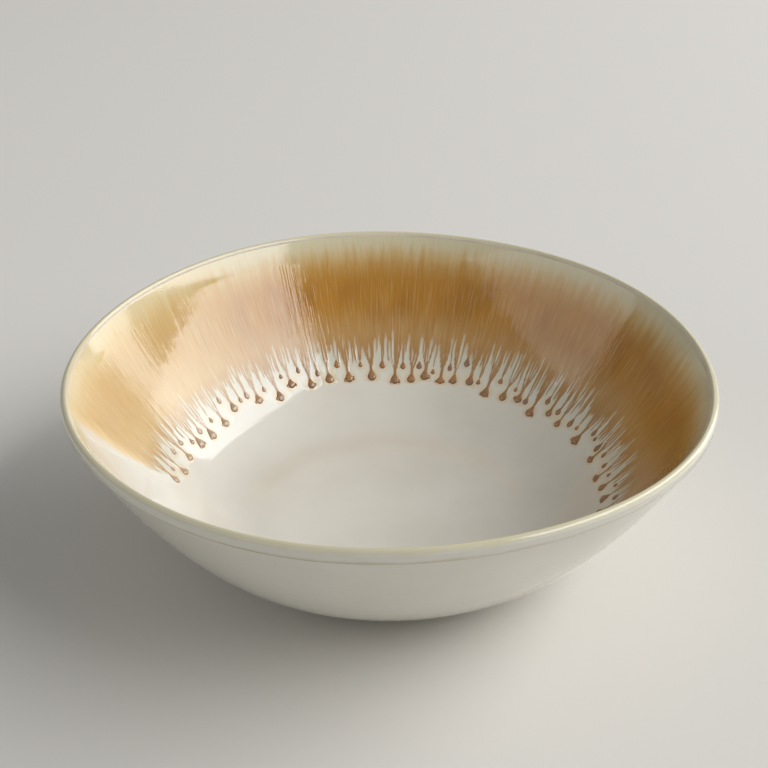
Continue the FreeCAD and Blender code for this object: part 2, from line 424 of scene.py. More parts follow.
class Graph:
    """Adds and links the nodes of one material or node group."""

    def __init__(self, tree: bpy.types.NodeTree) -> None:
        """Start on an empty or partly filled tree."""
        self.tree = tree

    def feed(self, node: bpy.types.Node, name: str | int, value: object) -> None:
        """Link a socket to an input, or set the input to a plain value."""
        if isinstance(value, bpy.types.NodeSocket):
            self.tree.links.new(value, node.inputs[name])
        else:
            node.inputs[name].default_value = value

    def add(self, kind: str, inputs: dict[str | int, object] | None = None,
            **settings: object) -> bpy.types.Node:
        """Add a node, set its plain properties and feed its inputs."""
        node = self.tree.nodes.new(kind)
        for name, value in settings.items():
            setattr(node, name, value)
        for name, value in (inputs or {}).items():
            self.feed(node, name, value)
        return node

    def math(self, operation: str, first: object, second: object = 0.0) -> bpy.types.NodeSocket:
        """Join two numbers with a Math node."""
        return self.add("ShaderNodeMath", {0: first, 1: second}, operation=operation).outputs[0]

    def plus(self, first: object, second: object) -> bpy.types.NodeSocket:
        """Sum of two numbers."""
        return self.math("ADD", first, second)

    def minus(self, first: object, second: object) -> bpy.types.NodeSocket:
        """Difference of two numbers."""
        return self.math("SUBTRACT", first, second)

    def times(self, first: object, second: object) -> bpy.types.NodeSocket:
        """Product of two numbers."""
        return self.math("MULTIPLY", first, second)

    def step(self, value: object, low: object, high: object) -> bpy.types.NodeSocket:
        """Smooth step of a number, from 0 at low to 1 at high."""
        inputs = {"Value": value, "From Min": low, "From Max": high}
        return self.add("ShaderNodeMapRange", inputs, interpolation_type="SMOOTHSTEP",
                        clamp=True).outputs["Result"]

    def fall(self, value: object, low: object, high: object) -> bpy.types.NodeSocket:
        """Smooth step of a number, from 1 at low to 0 at high."""
        return self.minus(1.0, self.step(value, low, high))

    def mix(self, share: object, first: object, second: object) -> bpy.types.NodeSocket:
        """Mix two colours."""
        return self.add("ShaderNodeMix", {0: share, 6: first, 7: second},
                        data_type="RGBA").outputs[2]

    def layers(self, ground: object, *coats: tuple[object, object]) -> bpy.types.NodeSocket:
        """Lay colours over a ground one by one, each given as its share and its colour."""
        for share, colour in coats:
            ground = self.mix(share, ground, colour)
        return ground

    def noise(self, vector: object, scale: float, detail: float = 2.0,
              rough: float = 0.5) -> bpy.types.NodeSocket:
        """Noise value between 0 and 1."""
        inputs = {"Vector": vector, "Scale": scale, "Detail": detail, "Roughness": rough}
        return self.add("ShaderNodeTexNoise", inputs).outputs["Fac"]

    def stretched(self, vector: object, scale: Sequence[float]) -> bpy.types.NodeSocket:
        """A vector scaled along each axis."""
        return self.add("ShaderNodeMapping", {"Vector": vector, "Scale": scale}).outputs["Vector"]

    def flow(self) -> bpy.types.NodeSocket:
        """Map coordinates of the glaze flow."""
        return self.add("ShaderNodeUVMap", uv_map=FLOW_MAP).outputs["UV"]

    def mask(self, name: str) -> bpy.types.NodeSocket:
        """A number stored on the piece."""
        return self.add("ShaderNodeAttribute", attribute_name=name).outputs["Fac"]

    def object_place(self) -> bpy.types.NodeSocket:
        """Object coordinates."""
        return self.add("ShaderNodeTexCoord").outputs["Object"]

    def parts(self, vector: object) -> Sequence[bpy.types.NodeSocket]:
        """The three parts of a vector."""
        return self.add("ShaderNodeSeparateXYZ", {0: vector}).outputs


def new_group(name: str, inputs: dict[str, float],
              outputs: dict[str, str]) -> tuple[Graph, dict, dict]:
    """Make an empty shader node group.

    Args:
        name: Name of the group.
        inputs: Name and plain value of each number that goes in.
        outputs: Name and socket type of each thing that comes out.

    Returns:
        The group's graph, its input sockets and its output sockets, by name.
    """
    tree = bpy.data.node_groups.new(name, "ShaderNodeTree")
    for label, value in inputs.items():
        socket = tree.interface.new_socket(name=label, in_out="INPUT", socket_type=NUMBER)
        socket.default_value = value
    for label, kind in outputs.items():
        tree.interface.new_socket(name=label, in_out="OUTPUT", socket_type=kind)
    graph = Graph(tree)
    entry = graph.add("NodeGroupInput")
    leave = graph.add("NodeGroupOutput")
    return (graph, {label: entry.outputs[label] for label in inputs},
            {label: leave.inputs[label] for label in outputs})


@dataclass(frozen=True)
class Palette:
    """Fired colours of the bowl, with a painted shade for the lip's lower edge and a painted light
    for the beads.
    """

    white: tuple = linear(228, 225, 214)
    white_shade: tuple = linear(222, 218, 206)
    celadon: tuple = linear(216, 209, 178)
    # Painted shade: the darker line along the lip's lower edge, under its overhang.
    celadon_painted_shade: tuple = linear(202, 194, 166)
    straw: tuple = linear(213, 191, 144)
    honey: tuple = linear(198, 158, 92)
    pale_honey: tuple = linear(222, 197, 146)
    ochre: tuple = linear(183, 130, 48)
    umber: tuple = linear(154, 100, 38)
    tan: tuple = linear(187, 147, 92)
    strand: tuple = linear(162, 122, 82)
    milk: tuple = linear(214, 211, 194)
    cream: tuple = linear(226, 204, 160)
    peach: tuple = linear(230, 204, 158)
    bead: tuple = linear(176, 128, 76)
    bead_rim: tuple = linear(130, 84, 46)
    plum: tuple = linear(146, 120, 102)
    # Painted light: pale tone for the beads on the bowl's left side, under the window's reflection.
    bead_painted_light: tuple = linear(196, 172, 148)
    speck: tuple = linear(110, 92, 74)
    clay: tuple = linear(214, 204, 186)
    clay_shade: tuple = linear(196, 184, 164)


PAINT = Palette()


class SharedEffects:
    """Node groups that several finishes use."""

    def __init__(self) -> None:
        """Build each group once."""
        self.streaks = self.build_streaks()
        self.specks = self.build_specks()
        self.wheel_lines = self.build_wheel_lines()
        self.pour_colour = self.build_pour_colour()

    @staticmethod
    def build_streaks() -> bpy.types.NodeTree:
        """Fine hare's-fur streaks down the wall, and broader stripes of thick and thin glaze."""
        graph, _, put = new_group("running_streaks", {}, dict.fromkeys(STREAKS, NUMBER))
        for name, (across, along, detail, rough) in STREAKS.items():
            stripes = graph.stretched(graph.flow(), (across, along, 1.0))
            graph.tree.links.new(graph.noise(stripes, 1.0, detail, rough), put[name])
        return graph.tree

    def build_pour_colour(self) -> bpy.types.NodeTree:
        """Colour of the pour down the wall: celadon, honey, ochre and tan, finely streaked."""
        graph, given, put = new_group("pour_colour", {"Pour": 1.0}, {"Colour": "NodeSocketColor"})
        turn, down, _ = graph.parts(graph.flow())
        fine, broad, slow = graph.add("ShaderNodeGroup", node_tree=self.streaks).outputs
        shake = graph.plus(graph.times(graph.minus(broad, 0.5), 1.1),
                           graph.times(graph.minus(fine, 0.5), 0.9))
        shaken = graph.plus(down, shake)
        deep = graph.times(graph.step(slow, 0.40, 0.62), graph.step(shaken, 1.4, 2.6))
        thin = graph.times(graph.step(turn, 0.485, 0.585), graph.plus(0.42, graph.times(slow, 0.3)))
        band = graph.layers(
            PAINT.celadon,
            (graph.step(shaken, -0.1, 1.0), PAINT.straw),
            (graph.step(shaken, 0.3, 1.5), PAINT.honey),
            (graph.step(shaken, 0.8, 2.2), PAINT.ochre),
            (graph.times(deep, 0.4), PAINT.umber),
            (graph.times(graph.step(shaken, 3.2, 5.0), 0.9), PAINT.tan),
            (thin, PAINT.pale_honey),
            (graph.times(graph.step(fine, 0.46, 0.78), 0.24), PAINT.cream),
            (graph.times(graph.fall(fine, 0.24, 0.48), 0.24), PAINT.umber))
        edge = graph.plus(given["Pour"], graph.times(graph.minus(broad, 0.5), 0.5))
        colour = graph.layers(
            PAINT.celadon,
            (graph.step(down, 0.1, 0.9), PAINT.white),
            (graph.step(edge, 0.10, 0.42), PAINT.peach),
            (graph.step(edge, 0.30, 0.92), band))
        graph.tree.links.new(colour, put["Colour"])
        return graph.tree

    @staticmethod
    def build_specks() -> bpy.types.NodeTree:
        """A few iron specks in the white glaze."""
        graph, given, put = new_group("iron_specks", {"Scale": 90.0}, {"Speck": NUMBER})
        place = {"Vector": graph.object_place(), "Scale": given["Scale"]}
        cells = graph.add("ShaderNodeTexVoronoi", place, feature="F1")
        chosen = graph.add("ShaderNodeSeparateColor", {0: cells.outputs["Color"]}).outputs
        rare = graph.step(chosen[0], 0.86, 0.90)
        size = graph.times(SPECK_SIZE, graph.plus(chosen[1], 0.4))
        dot = graph.fall(cells.outputs["Distance"], graph.times(size, 0.5), size)
        graph.tree.links.new(graph.times(dot, rare), put["Speck"])
        return graph.tree

    @staticmethod
    def build_wheel_lines() -> bpy.types.NodeTree:
        """Faint rings that the potter's fingers left as the bowl turned."""
        graph, given, put = new_group("wheel_lines", {"Pitch": 260.0}, {"Height": NUMBER})
        side, back, up = graph.parts(graph.object_place())
        out = graph.math("SQRT", graph.plus(graph.math("POWER", side, 2.0),
                                            graph.math("POWER", back, 2.0)))
        line = graph.plus(out, graph.times(up, 1.4))
        inputs = {"W": line, "Scale": given["Pitch"], "Detail": 2.0}
        rings = graph.add("ShaderNodeTexNoise", inputs, noise_dimensions="1D").outputs["Fac"]
        wander = graph.noise(graph.object_place(), 22.0)
        height = graph.plus(graph.times(rings, 0.7), graph.times(wander, 0.9))
        graph.tree.links.new(height, put["Height"])
        return graph.tree


@dataclass(frozen=True)
class Gloss:
    """Plain shader values of one fired surface."""

    roughness: float = 0.07
    refraction: float = 1.5
    bump: float = 0.0
    bump_depth: float = 0.1 * MM


class Finish:
    """Base of every finish: one material with its shader set plainly and its colour linked."""

    name = "finish"
    gloss = Gloss()

    def __init__(self, effects: SharedEffects) -> None:
        """Keep the shared effects and build the material."""
        self.effects = effects
        self.material = bpy.data.materials.new(self.name)
        self.material.use_nodes = True
        self.graph = Graph(self.material.node_tree)
        self.shader = self.material.node_tree.nodes["Principled BSDF"]
        self.shader.inputs["Roughness"].default_value = self.gloss.roughness
        self.shader.inputs["IOR"].default_value = self.gloss.refraction
        self.build()

    def build(self) -> None:
        """Link the colour and relief; each finish has its own."""
        raise NotImplementedError

    def effect(self, tree: bpy.types.NodeTree, **values: object) -> Sequence[bpy.types.NodeSocket]:
        """Place a shared effect with its own values, and give what comes out of it."""
        return self.graph.add("ShaderNodeGroup", values, node_tree=tree).outputs

    def colour(self, value: object) -> None:
        """Set the base colour."""
        self.graph.feed(self.shader, "Base Color", value)

    def relief(self, height: object) -> None:
        """Add fine relief to the surface."""
        inputs = {"Strength": self.gloss.bump, "Distance": self.gloss.bump_depth, "Height": height}
        bump = self.graph.add("ShaderNodeBump", inputs)
        self.graph.feed(self.shader, "Normal", bump.outputs[0])

    def below_lip(self) -> bpy.types.NodeSocket:
        """How far a place inside is below the celadon of the lip, from 0 to 1."""
        down = self.graph.parts(self.graph.flow())[1]
        broad = self.effect(self.effects.streaks)["Broad"]
        return self.graph.step(self.graph.plus(down, self.graph.times(broad, 0.35)), 0.2, 1.1)

    def mottled_white(self, scale: float, low: float, high: float) -> bpy.types.NodeSocket:
        """White glaze, a little warmer where a noise is between low and high."""
        mottle = self.graph.noise(self.graph.object_place(), scale, 3.0)
        return self.graph.mix(self.graph.step(mottle, low, high), PAINT.white, PAINT.white_shade)

    def speckle(self, ground: object, scale: float, share: float) -> None:
        """Set the base colour to a ground with iron specks in it."""
        speck = self.effect(self.effects.specks, Scale=scale)[0]
        self.colour(self.graph.mix(self.graph.times(speck, share), ground, PAINT.speck))


class WhiteLiner(Finish):
    """White glaze of the inside, with the lip's celadon thinning into it."""

    name = "liner_glaze"
    gloss = Gloss(roughness=0.09, refraction=1.53, bump=0.25)

    def build(self) -> None:
        """Mottle the white, speck it and tint it near the lip."""
        white = self.mottled_white(26.0, 0.35, 0.75)
        self.speckle(self.graph.mix(self.below_lip(), PAINT.celadon, white), 85.0, 0.6)
        self.relief(self.effect(self.effects.wheel_lines, Pitch=210.0)[0])


class WhiteOutside(Finish):
    """White glaze of the outside wall."""

    name = "outer_glaze"
    gloss = Gloss(roughness=0.10, bump=0.35, bump_depth=0.16 * MM)

    def build(self) -> None:
        """Mottle the white and show the turning."""
        self.speckle(self.mottled_white(18.0, 0.3, 0.8), 70.0, 0.5)
        self.relief(self.effect(self.effects.wheel_lines, Pitch=170.0)[0])


class CeladonLip(Finish):
    """Grey-green glaze rolled over the rim, pale outside, taking the pour's colours inside."""

    name = "lip_glaze"
    gloss = Gloss(roughness=0.09, refraction=1.58, bump=0.3)

    def build(self) -> None:
        """Fade from the crest to a deeper celadon painted as shade along the lip's lower edge
        outside, and to the pour inside.
        """
        graph = self.graph
        wander = graph.noise(graph.stretched(graph.flow(), (60.0, 1.0, 1.0)), 1.0)
        shade = graph.plus(graph.mask("crest"), graph.times(graph.minus(wander, 0.5), 0.4))
        pour = graph.mask("pour")
        inside = graph.layers(
            PAINT.celadon,
            (self.below_lip(), PAINT.white),
            (graph.step(pour, 0.02, 0.22), self.effect(self.effects.pour_colour, Pour=pour)[0]))
        # The deeper celadon below the white is painted shade: the dark line where the lip overhangs
        # the outer wall.
        self.colour(graph.layers(
            PAINT.celadon_painted_shade,
            (graph.step(shade, -0.45, 0.05), PAINT.white),
            (graph.step(shade, 0.3, 1.0), PAINT.celadon),
            (graph.mask("inside"), inside)))
        fine = self.effect(self.effects.streaks)["Fine"]
        self.relief(graph.plus(graph.noise(graph.object_place(), 120.0), graph.times(fine, 0.7)))


class AmberBand(Finish):
    """Reactive amber glaze of the upper inside wall, with hare's-fur streaks."""

    name = "amber_glaze"
    gloss = Gloss(refraction=1.62, bump=0.5, bump_depth=0.12 * MM)

    def build(self) -> None:
        """Lay the pour's colours down the wall and open them into strands lower down."""
        graph = self.graph
        down = graph.parts(graph.flow())[1]
        fine, broad, _ = self.effect(self.effects.streaks)
        pour = graph.mask("pour")
        band = self.effect(self.effects.pour_colour, Pour=pour)[0]
        milky = graph.mix(graph.times(graph.step(down, 4.4, 6.2), 0.35), band, PAINT.milk)
        ground = graph.layers(
            PAINT.milk,
            (graph.step(down, 6.0, 7.4), PAINT.white),
            (graph.times(graph.mask("halo"), 0.6), PAINT.cream))
        open_fine = graph.times(graph.step(fine, 0.50, 0.70), graph.step(down, 4.6, 6.4))
        strand = graph.layers(
            band,
            (graph.times(graph.mask("drop"), 0.85), PAINT.strand),
            (graph.times(open_fine, 0.5), milky))
        body = graph.mix(graph.step(graph.mask("cover"), 0.05, 0.95), ground, strand)
        self.colour(graph.mix(graph.step(pour, 0.02, 0.22), PAINT.white, body))
        wavy = graph.plus(graph.times(broad, 2.2),
                          graph.times(graph.noise(graph.object_place(), 70.0), 2.0))
        self.relief(graph.plus(fine, wavy))


class RunFringe(AmberBand):
    """The same glaze where it breaks into strands."""

    name = "glaze_runs"


class BrownBead(Finish):
    """Thick brown drop, darker at its rim, plum in places, and painted paler on the bowl's left
    side, where the window's reflection lights the wall.
    """

    name = "glaze_beads"
    gloss = Gloss(refraction=1.6, bump=0.2)

    def build(self) -> None:
        """Colour each drop by its own rim and neck."""
        graph = self.graph
        mottle = graph.noise(graph.object_place(), 420.0)
        grain = graph.noise(graph.object_place(), 1300.0)
        across = graph.parts(graph.object_place())[0]
        self.colour(graph.layers(
            PAINT.bead,
            (graph.step(mottle, 0.42, 0.62), PAINT.plum),
            (graph.times(graph.step(grain, 0.5, 0.7), 0.4), PAINT.bead_rim),
            (graph.mask("rim"), PAINT.bead_rim),
            (graph.mask("neck"), PAINT.strand),
            # Painted light: drops on the bowl's left side, where the window's bright reflection
            # falls, are paled.
            (graph.times(graph.fall(across, -0.085, -0.045), 0.7), PAINT.bead_painted_light)))
        self.relief(mottle)


class BareClay(Finish):
    """Dry fired porcelain of the foot."""

    name = "bare_clay"
    gloss = Gloss(roughness=0.62, bump=0.6, bump_depth=0.15 * MM)

    def build(self) -> None:
        """Turned lines, grain and a few scuffs."""
        graph = self.graph
        grain = graph.noise(graph.object_place(), 900.0, 3.0)
        scuff = graph.noise(graph.object_place(), 60.0, 4.0)
        self.colour(graph.layers(
            PAINT.clay,
            (graph.step(scuff, 0.4, 0.75), PAINT.clay_shade),
            (graph.times(graph.step(grain, 0.6, 0.8), 0.3), PAINT.speck)))
        rings = self.effect(self.effects.wheel_lines, Pitch=900.0)[0]
        self.relief(graph.plus(rings, graph.times(grain, 0.3)))


# ------------------------------------------------------------------------------------------
# Sub-assemblies
# ------------------------------------------------------------------------------------------
@dataclass
class GlazedWall:
    """The round coats and the foot: everything that the wheel shaped."""

    shape: BowlShape
    effects: SharedEffects
    segments: int = 320
    wall_rows: int = 84
    floor_rows: int = 26
    hidden_rows: int = 12
    lip_turn: float = -30.0
    soft: float = 9.0 * MM
    apron: float = 11.5 * MM
    lip_core: float = 1.1 * MM
    pour_coat: float = 0.2 * MM
    eased: float = 11.0 * MM
    foot_width: float = 8.0 * MM
    foot_wear: float = 1.2 * MM

    def uneven(self, piece: bpy.types.Object) -> None:
        """Give a perfectly round piece the rim's unevenness."""
        points = coordinates(piece)
        radius, angle = around_axis(points)
        move_vertices(piece, self.shape.place(radius, points[:, 2], angle))

    def flow_from_place(self, points: np.ndarray) -> np.ndarray:
        """Turns round the bowl, and centimetres down from the lip."""
        radius, angle = around_axis(points)
        return flow_rows(np.degrees(angle), self.shape.distance_at(radius))

    def floor(self, layer: Layer, count: int) -> Outline:
        """Floor points from the axis to the wall's foot."""
        edge = float(self.shape.wall(np.array(0.0), layer)[0])
        radii = np.linspace(0.0, edge, count, endpoint=False)
        return outline_of(zip(radii, self.shape.floor_height(radii, layer)))

    def ease_spring(self, outline: Outline) -> Outline:
        """Ease the turn from the floor into the wall, where the wheel leaves no crease."""
        points = np.array(outline)
        radii, heights = np.array(outline).T
        steps = np.linspace(-1.0, 1.0, 41)
        weight = (1.0 - steps ** 2) ** 2
        for index in np.nonzero((radii > 30 * MM) & (radii < 88 * MM))[0]:
            radius = radii[index]
            reach = self.eased * float(smooth(30 * MM, 45 * MM, radius)
                                       * smooth(88 * MM, 72 * MM, radius))
            around = np.interp(radius + steps * reach, radii, heights)
            points[index, 1] = (around * weight).sum() / weight.sum()
        return outline_of(points)

    def turn_coat(self, name: str, outline: Outline, closed: bool, finish: type[Finish],
                  node: str) -> bpy.types.Object:
        """Turn one coat, map its flow, make it as uneven as the rim and dress it."""
        piece = throw_on_wheel(name, outline, closed, self.segments)
        add_flow_map(piece, self.flow_from_place)
        self.uneven(piece)
        return dress(piece, finish(self.effects).material, node)

    def make_liner(self) -> None:
        """White coat of the inside: floor, wall and the hidden side that grips the clay."""
        shape = self.shape
        shares = np.linspace(0.0, 1.0, self.wall_rows)
        away = shape.distance_at(shape.wall(shares, Layer.LINER)[:, 0])
        sunk = shape.wall(shares, Layer.LINER, -0.5 * MM * smooth(8.0 * MM, 2.0 * MM, away))
        top = self.ease_spring(self.floor(Layer.LINER, self.floor_rows) + outline_of(sunk))
        hidden = shape.wall(np.linspace(0.0, 1.0, self.hidden_rows), Layer.CLAY_IN)
        under = self.floor(Layer.CLAY_IN, 4) + outline_of(hidden)
        self.turn_coat("liner_glaze_coat", top + under[::-1], False, WhiteLiner, "liner_glaze")

    def make_outside(self) -> None:
        """White coat of the outside, rounded off above the bare foot."""
        outer = self.shape.wall(np.linspace(0.004, 1.0, self.wall_rows), Layer.OUTSIDE)
        inner = self.shape.wall(np.linspace(0.0, 1.0, self.hidden_rows), Layer.CLAY_OUT)
        self.turn_coat("outer_glaze_coat", outline_of(outer) + outline_of(inner)[::-1], True,
                       WhiteOutside, "outer_glaze")

    def lip_inside(self) -> Outline:
        """Half section of the lip's inner side: a broad rounding from the crest to the wall."""
        shape = self.shape
        crest = np.array(shape.roll_point(90.0, shape.lip_thickness / 2))
        meet, below = shape.wall(shape.share_at(np.array([self.soft, self.soft + 0.3 * MM])),
                                 Layer.LINER)
        upwards = (meet - below) / np.linalg.norm(meet - below)
        poles = [crest, crest - np.array([1.3 * MM, 0.0]), meet + upwards * 3.5 * MM, meet]
        curve = bezier(poles, np.linspace(0.0, 1.0, 24)[1:-1, None])
        down = np.linspace(self.soft, self.apron, 8)
        skirt = shape.wall(shape.share_at(down), Layer.LINER,
                           -0.03 * MM * smooth(self.soft, self.apron, down))
        return outline_of(np.concatenate([curve, skirt]))

    def make_lip(self) -> None:
        """Celadon roll over the rim, rounding into the wall inside and ending in a bead outside."""
        shape = self.shape
        full = shape.lip_thickness / 2
        core = full - self.lip_core
        bead = shape.wall(np.array([0.988, 0.992, 0.996, 1.0]), Layer.OUTSIDE,
                          np.array([0.2, -0.05, -0.28, -0.40]) * MM)
        turns = np.linspace(self.lip_turn, 90.0, 20)
        roll = [shape.roll_point(float(turn), full) for turn in turns]
        back = shape.wall(np.array([0.92, 0.96, 0.985]), Layer.LINER, -self.lip_core)
        outline = (outline_of(bead) + roll + self.lip_inside() + outline_of(back)
                   + [shape.roll_point(100.0, core), shape.roll_point(30.0, core)])
        piece = throw_on_wheel("lip_glaze_roll", outline, True, self.segments)
        points = coordinates(piece)
        height = points[:, 2]
        radius, turn = around_axis(points)
        away = shape.distance_at(radius)
        colour, relief = pour_masks(np.degrees(turn), away, pour_depth(np.degrees(turn)) - 3 * MM)
        add_mask(piece, "crest", 1.0 + (height - shape.bowl_height) / shape.lip_thickness)
        add_mask(piece, "pour", colour)
        add_mask(piece, "inside", smooth(0.3 * full, -0.9 * full, radius - shape.rim_radius + full))
        add_flow_map(piece, self.flow_from_place)
        raised = self.pour_coat * relief * smooth(0.0, 7.5 * MM, away)
        inwards, upwards = polar(1.0, shape.wall_slope)[::-1, None] * raised
        radius, height = radius - inwards, height + upwards
        move_vertices(piece, np.stack([radius * np.cos(turn), radius * np.sin(turn), height], -1))
        self.uneven(piece)
        dress(piece, CeladonLip(self.effects).material, "lip_glaze")

    def make_foot(self) -> None:
        """Bare foot ring with worn, rounded edges."""
        low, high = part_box("foot_ring")
        outer, inner, worn = high.x, high.x - self.foot_width, self.foot_wear
        outline = [(outer, high.z), (outer, low.z + worn)]
        for middle, start in ((outer - worn, 0), (inner + worn, 90)):
            for turn in range(start, start + 91, 15):
                step = polar(worn, -turn)
                outline.append((middle + step[0], low.z + worn + step[1]))
        outline += [(inner, high.z)]
        piece = throw_on_wheel("foot_ring_turned", outline, True, 160)
        dress(piece, BareClay(self.effects).material, "foot_ring")

    def build(self) -> None:
        """Make every round piece, and dress the clay that stays as it is."""
        self.make_liner()
        self.make_outside()
        self.make_lip()
        self.make_foot()
        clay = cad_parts["porcelain_body"]
        clay.data.materials.clear()
        clay.data.materials.append(BareClay(self.effects).material)


@dataclass(frozen=True)
class Drip:
    """One drip of the pour: direction of its bead in degrees, distance of its tip, and width."""

    angle: float
    tip: float
    width: float
    big: bool = True

    def neck(self) -> float:
        """Distance down at which its strands have closed into one."""
        return self.tip - (8.0 if self.big else 5.0) * MM


@dataclass(frozen=True)
class Strand:
    """One thread of amber glaze between two slits.

    Args:
        top: Direction in which it leaves the band, in degrees.
        foot: Direction of its lower end, in degrees.
        meet: Distance down at which it reaches its foot's direction.
        end: Distance down at which it stops.
        half: Half its width, in metres.
        opening: Distance down at which the slit on its left opens.
    """

    top: float
    foot: float
    meet: float
    end: float
    half: float
    opening: float


@dataclass
class PouredGlaze:
    """The amber pour: band, strands and beads."""

    shape: BowlShape
    effects: SharedEffects
    band_top: float = 6.5 * MM
    band_bottom: float = 45.5 * MM
    fringe_top: float = 41.5 * MM
    fringe_bottom: float = 83.0 * MM
    coat: float = 0.2 * MM
    slit_depth: float = 0.14 * MM
    thickness: float = 0.25 * MM
    tuck: float = 0.015 * MM
    overlap: float = 3.0 * MM
    right_edge: float = -46.0
    left_edge: float = 206.0
    around: float = 98.0 * MM
    drip_spacing: float = 3.6
    seed: int = 11
    drips: list[Drip] = field(default_factory=list)
    strands: list[Strand] = field(default_factory=list)

    def read_drips(self, rng: np.random.Generator) -> list[Drip]:
        """Find each bead of the frame, and add its small neighbours between."""
        points = coordinates(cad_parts["glaze_beads"])
        angle = np.degrees(around_axis(points)[1])
        angle = np.where(angle < -90.0, angle + 360.0, angle)
        order = np.argsort(angle)
        angle, points = angle[order], points[order]
        breaks = np.nonzero(np.diff(angle) > 0.6)[0] + 1
        big: list[Drip] = []
        for group in np.split(np.arange(len(angle)), breaks):
            ends = angle[group]
            radius = around_axis(points[group])[0].min()
            tip = float(self.shape.distance_at(np.array(radius)))
            width = math.radians(ends.max() - ends.min()) * radius * rng.uniform(0.74, 0.96)
            big.append(Drip(float(ends.max() + ends.min()) / 2, tip, width))
        small = []
        for here, after in zip(big, big[1:]):
            room = after.angle - here.angle
            count = int(room // self.drip_spacing)
            for j in range(count):
                share = (j + 1) / (count + 1) + rng.uniform(-0.08, 0.08)
                rise = rng.uniform(4.5, 9.5) * MM
                width = rng.uniform(2.0, 3.3) * MM
                small.append(Drip(here.angle + room * share, here.tip - rise, width, False))
        return sorted(big + small, key=lambda drip: drip.angle)

    def draw_strands(self, rng: np.random.Generator) -> list[Strand]:
        """Lay threads side by side along the lower edge of the band, and lead some to drips."""
        strands = []
        places = [self.drips[0].angle - 14.0]
        while places[-1] < self.drips[-1].angle + 8.0:
            places.append(places[-1] + math.degrees(rng.uniform(1.05, 2.1) * MM / self.around))
        for top in places:
            gaps = [abs(drip.angle - top) - (0.9 if drip.big else 0.0) for drip in self.drips]
            drip = self.drips[int(np.argmin(gaps))]
            away = top - drip.angle
            half = rng.uniform(0.26, 0.52) * MM
            opening = (44.5 + 13.0 * rng.random()) * MM
            if abs(away) < (1.55 if drip.big else 0.75):
                foot = drip.angle + away * (0.24 if drip.big else 0.3)
                strands.append(Strand(top, foot, drip.neck(), drip.tip - 1.4 * MM, half, opening))
            else:
                end = rng.uniform(58.5, 68.5) * MM
                strands.append(Strand(top, top - away * 0.16, end, end, half * 0.9, opening))
        return strands

    def cover(self, angle: np.ndarray, depth: float) -> np.ndarray:
        """How much amber lies at points along one row of the wall.

        Args:
            angle: Directions of the points, in degrees.
            depth: Distance down of the row, in metres.

        Returns:
            Cover between 0 and 1.
        """
        tops, feet, meet, ends, halves, opens = np.array([astuple(s) for s in self.strands]).T
        bend = np.clip((depth - (meet - 12 * MM)) / (12 * MM), 0.0, 1.0) ** 1.7
        line = np.radians(tops + (feet - tops) * bend) * self.around
        line = line + 0.12 * MM * np.sin(depth / (2.6 * MM) + np.arange(len(tops)) * 1.9)
        line = np.maximum.accumulate(line)
        ended = smooth(ends - 3.5 * MM, ends, depth)
        half = halves * (1.0 - 0.35 * bend) * (1.0 - 0.7 * ended)
        spot = np.radians(angle) * self.around
        right = np.clip(np.searchsorted(line, spot), 1, len(line) - 1)
        left = right - 1
        low, high, opening = line[left] + half[left], line[right] - half[right], opens[left]
        slit = np.clip((high - low) / 2, 0.0, None) * smooth(opening, opening + 4.5 * MM, depth)
        off_middle = spot - (low + high) / 2
        open_share = 1.0 - smooth(slit - 0.20 * MM, slit + 0.16 * MM, np.abs(off_middle))
        open_share *= smooth(0.02 * MM, 0.22 * MM, slit)
        open_share *= 0.5 + 0.5 * smooth(opening + 2 * MM, opening + 13 * MM, depth)
        side = smooth(-0.3 * MM, 0.3 * MM, off_middle)
        alive = 1.0 - (ended[left] * (1 - side) + ended[right] * side)
        return (1.0 - open_share) * alive

    def masks(self, angle: np.ndarray, down: np.ndarray, columns: int) -> dict[str, np.ndarray]:
        """Numbers that the finish reads at each point of the pour.

        Args:
            angle: Directions, in degrees.
            down: Distances down the wall, in metres.
            columns: Points in each row.

        Returns:
            pour, cover, drop, halo and relief, by name.
        """
        cover, drop = np.ones_like(angle), np.zeros_like(angle)
        if down.max() > 48 * MM:
            for row in range(0, len(angle), columns):
                part = slice(row, row + columns)
                cover[part] = self.cover(angle[part], float(down[row]))
            drop = np.clip((down - 50 * MM) / (18 * MM), 0.0, 1.0)
        halo, reach = np.zeros_like(angle), np.zeros_like(angle)
        for drip in self.drips:
            side = np.radians(angle - drip.angle) * self.around
            near = np.abs(side) < 11 * MM
            across, depth = side[near], down[near]
            scale, strength = (1.0, 1.0) if drip.big else (0.6, 0.7)
            ring = np.hypot(across / (0.5 * drip.width + 1.9 * MM),
                            (depth - drip.tip + 2.0 * MM * scale) / (4.6 * MM * scale))
            halo[near] = np.maximum(halo[near], smooth(1.25, 0.75, ring) * strength)
            lobe = drip.tip + (2.6 - 3.4 * (across / (7.5 * MM)) ** 2) * MM
            reach[near] = np.maximum(reach[near], lobe)
        depth_here = pour_depth(angle)
        edge = np.minimum(np.maximum(reach, depth_here - 3 * MM), depth_here + 9 * MM)
        colour, relief = pour_masks(angle, down, edge)
        cover = cover * smooth(-1.0 * MM, 5.0 * MM, depth_here + 1.5 * MM - down)
        halo = halo * smooth(60 * MM, 68 * MM, down)
        return {"pour": colour, "cover": cover, "drop": drop, "halo": halo, "relief": relief}

